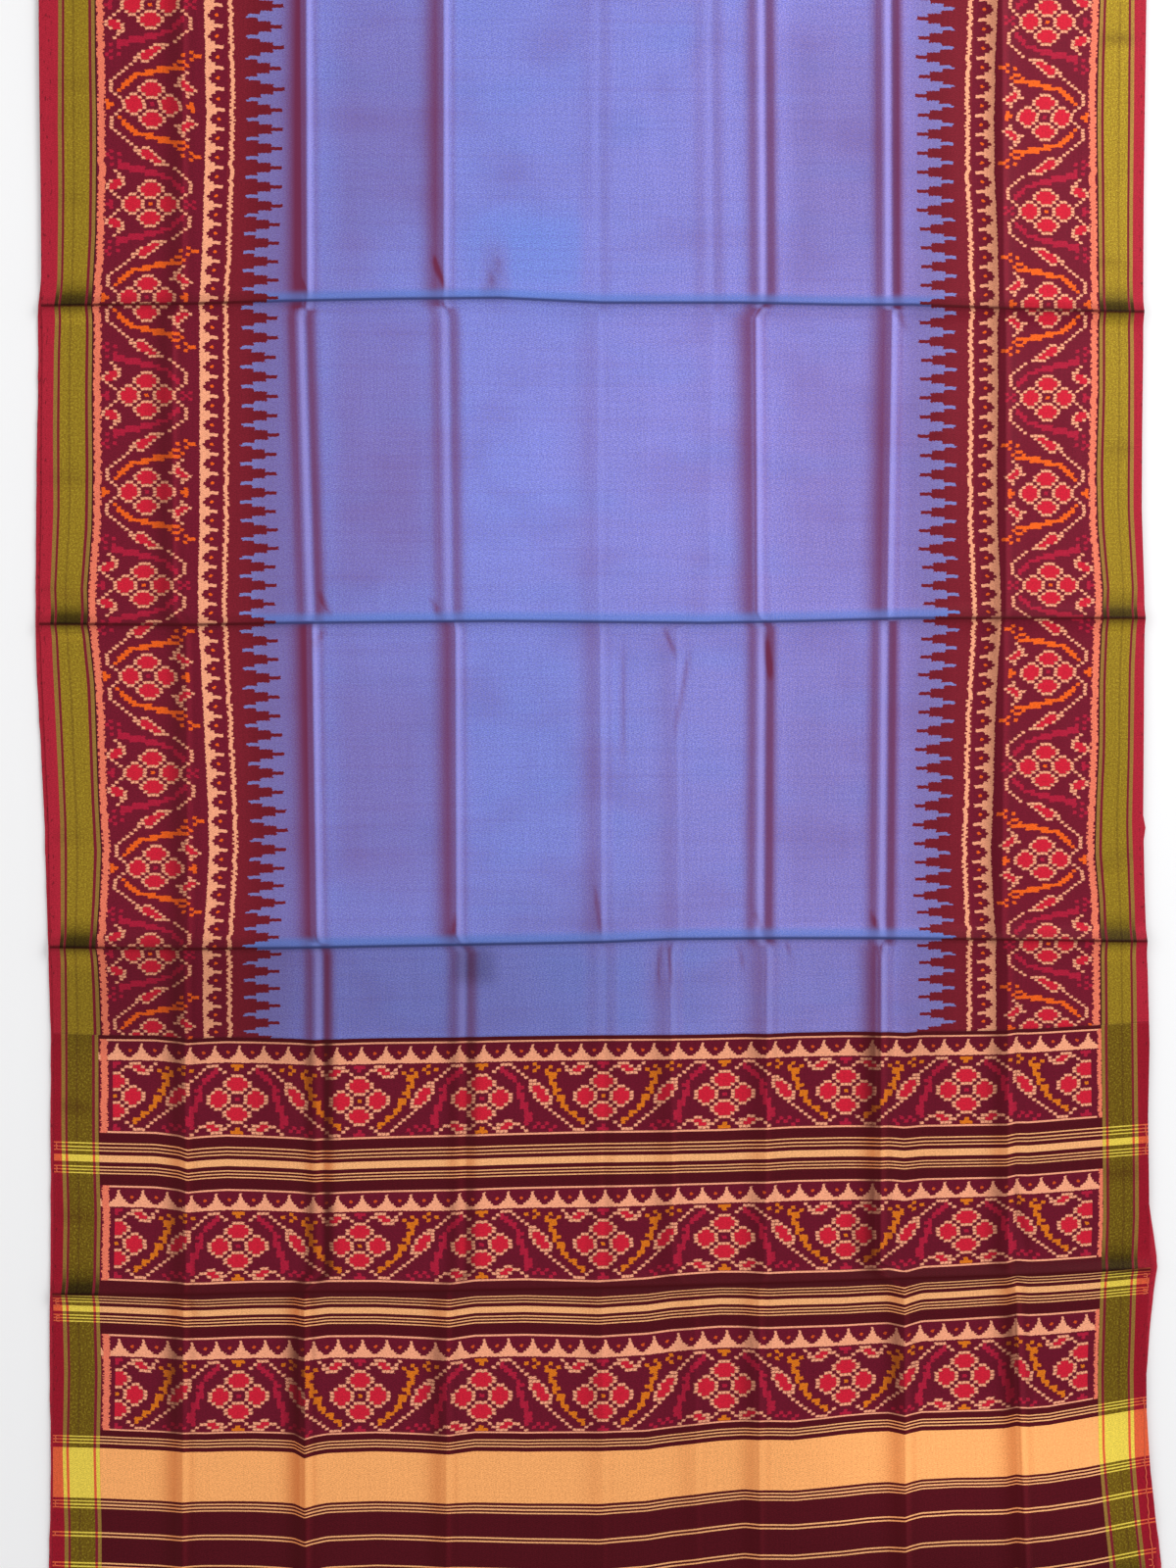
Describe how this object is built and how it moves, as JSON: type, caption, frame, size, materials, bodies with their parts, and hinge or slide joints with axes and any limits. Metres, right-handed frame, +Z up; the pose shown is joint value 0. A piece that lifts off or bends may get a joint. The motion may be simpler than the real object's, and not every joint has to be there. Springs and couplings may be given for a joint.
{
  "type": "patola saree",
  "caption": "Length of ikat silk sari, folded lengthwise in layers and laid flat, with patterned side borders and a striped, figured end panel.",
  "frame": {"origin": "middle of the flat underside, at the centre of the whole footprint", "axes": "+X across the cloth to the viewer's right, +Y along it from the end panel towards the far turn, +Z up out of the face"},
  "size_m": [1.152, 1.84, 0.0119],
  "materials": {
    "field_silk": "shot silk, periwinkle weft over a crimson warp, with tie-dyed side borders",
    "pallu_silk": "dark maroon silk with tie-dyed figured bands and peach weft stripes",
    "selvedge_silk": "plain crimson silk selvedge"
  },
  "bodies": {
    "root": {"body_stretch": "field_silk", "pallu_stretch": "pallu_silk", "under_layers": "selvedge_silk"}
  },
  "joints": []
}
